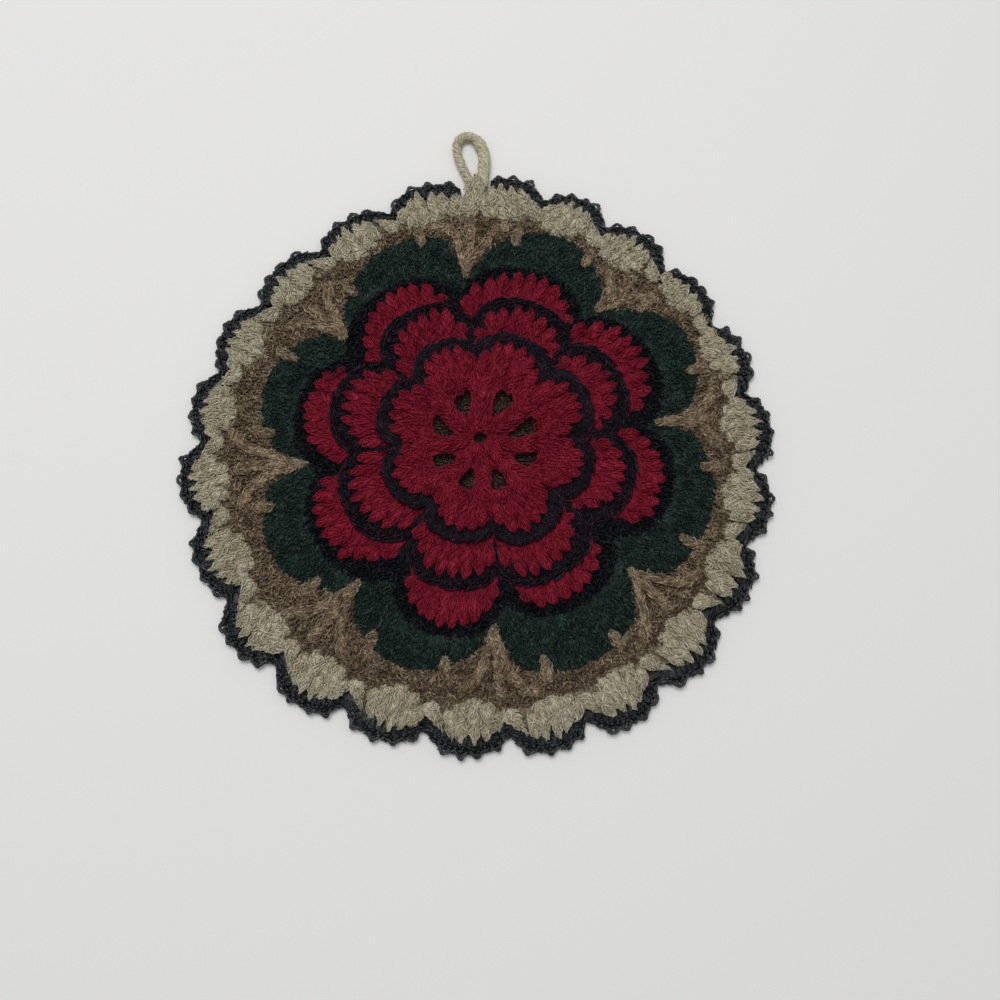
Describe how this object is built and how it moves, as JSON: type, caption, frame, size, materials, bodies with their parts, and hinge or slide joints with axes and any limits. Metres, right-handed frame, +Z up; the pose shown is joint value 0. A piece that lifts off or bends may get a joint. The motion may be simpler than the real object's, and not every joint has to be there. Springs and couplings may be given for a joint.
{
  "type": "crocheted pot holder",
  "caption": "Round crocheted pot holder with layered petals round an open flower, a leaf round, a scalloped shell border with a fine picot edging, and a twisted-cord hanging loop.",
  "frame": {"origin": "on the flat underside, straight below the hub of the flower", "axes": "+Z up, out of the face; +Y from the hub towards the hanging loop; +X to the right, seen from above"},
  "size_m": [0.2249, 0.25, 0.0097],
  "materials": {
    "red_yarn": "matt twisted yarn, single crochet and double crochet",
    "dark_yarn": "matt dark twisted yarn, edging",
    "green_yarn": "matt dark green twisted yarn",
    "brown_yarn": "heathered brown twisted yarn",
    "backing_yarn": "heathered olive brown yarn",
    "beige_yarn": "matt beige twisted yarn",
    "navy_thread": "slightly glossy thin dark thread"
  },
  "bodies": {
    "root": {"backing_disc": "backing_yarn", "leaf_round": "green_yarn", "spike_round": "brown_yarn", "outer_petals": "red_yarn", "outer_petal_edging": "dark_yarn", "middle_petals": "red_yarn", "middle_petal_edging": "dark_yarn", "open_flower": "red_yarn", "open_flower_edging": "dark_yarn", "shell_border": "beige_yarn", "picot_edging": "navy_thread", "hanging_loop": "beige_yarn"}
  },
  "joints": []
}
